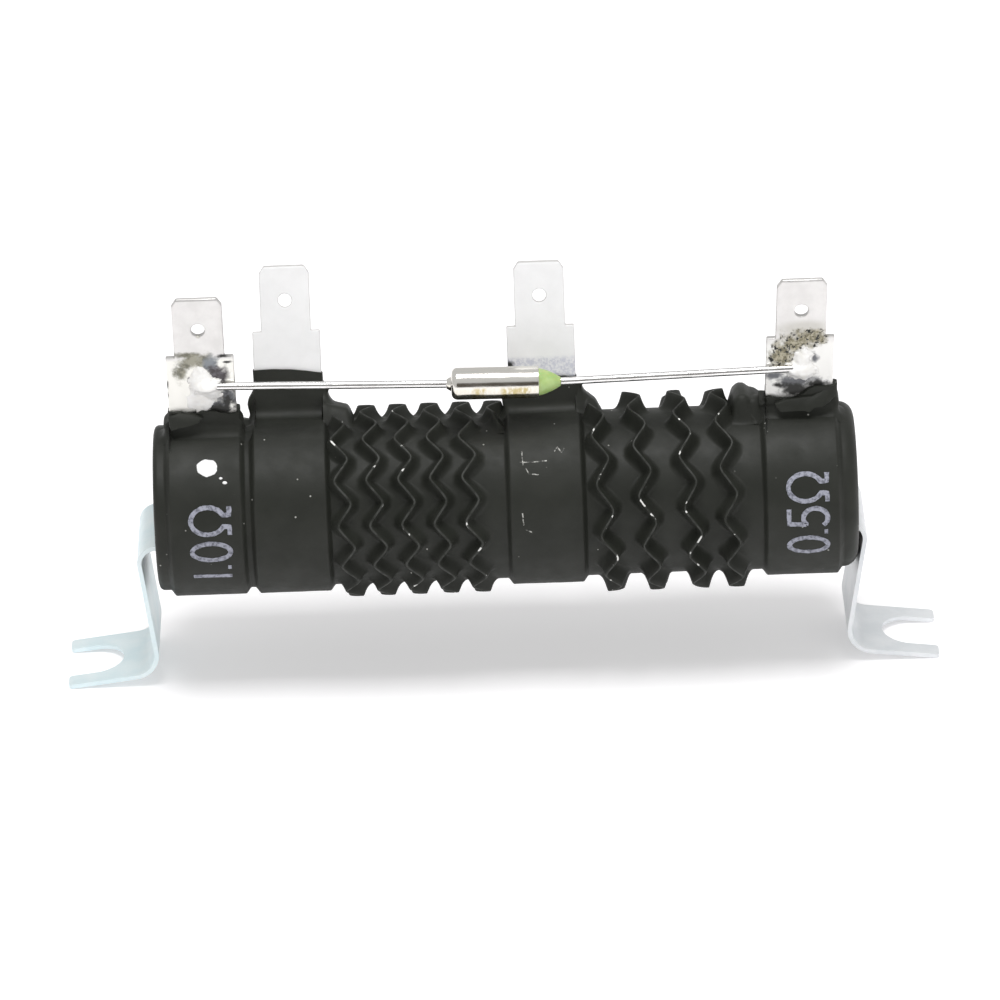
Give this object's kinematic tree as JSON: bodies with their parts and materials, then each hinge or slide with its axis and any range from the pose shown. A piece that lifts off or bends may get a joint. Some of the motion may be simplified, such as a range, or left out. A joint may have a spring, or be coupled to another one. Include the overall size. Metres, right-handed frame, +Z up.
{
  "type": "wirewound power resistor",
  "caption": "Tubular power resistor: corrugated ribbon wound on a black-coated ceramic tube, strap terminals with push-on tabs, a thermal fuse across the ends and slotted push-in feet.",
  "frame": {"origin": "on the ground under the middle of the part, halfway between the outer ends of the feet", "axes": "+X along the tube towards the terminal of the second section, +Z up towards the tabs, -Y is the front with the fuse"},
  "size_m": [0.1122, 0.0254, 0.0535],
  "materials": {
    "ceramic": "matte",
    "black_enamel": "satin",
    "coated_ribbon": "satin",
    "matte_tinned_steel": "matte",
    "bright_tinned_steel": "satin",
    "nickel_can": "polished",
    "green_resin": "satin",
    "tinned_wire": "bright",
    "solder": "bright",
    "zinc_steel": "satin"
  },
  "bodies": {
    "root": {"ceramic_core": "ceramic", "enamel_coat": "black_enamel", "ribbon_left": "coated_ribbon", "ribbon_right": "coated_ribbon", "end_terminal_left": "matte_tinned_steel", "tap_terminal_left": "bright_tinned_steel", "tap_terminal_centre": "bright_tinned_steel", "end_terminal_right": "matte_tinned_steel", "fuse_case": "nickel_can", "fuse_seal": "green_resin", "fuse_lead_left": "tinned_wire", "fuse_lead_right": "tinned_wire", "solder_left": "solder", "solder_right": "solder", "bracket_left": "zinc_steel", "bracket_right": "zinc_steel"}
  },
  "joints": []
}
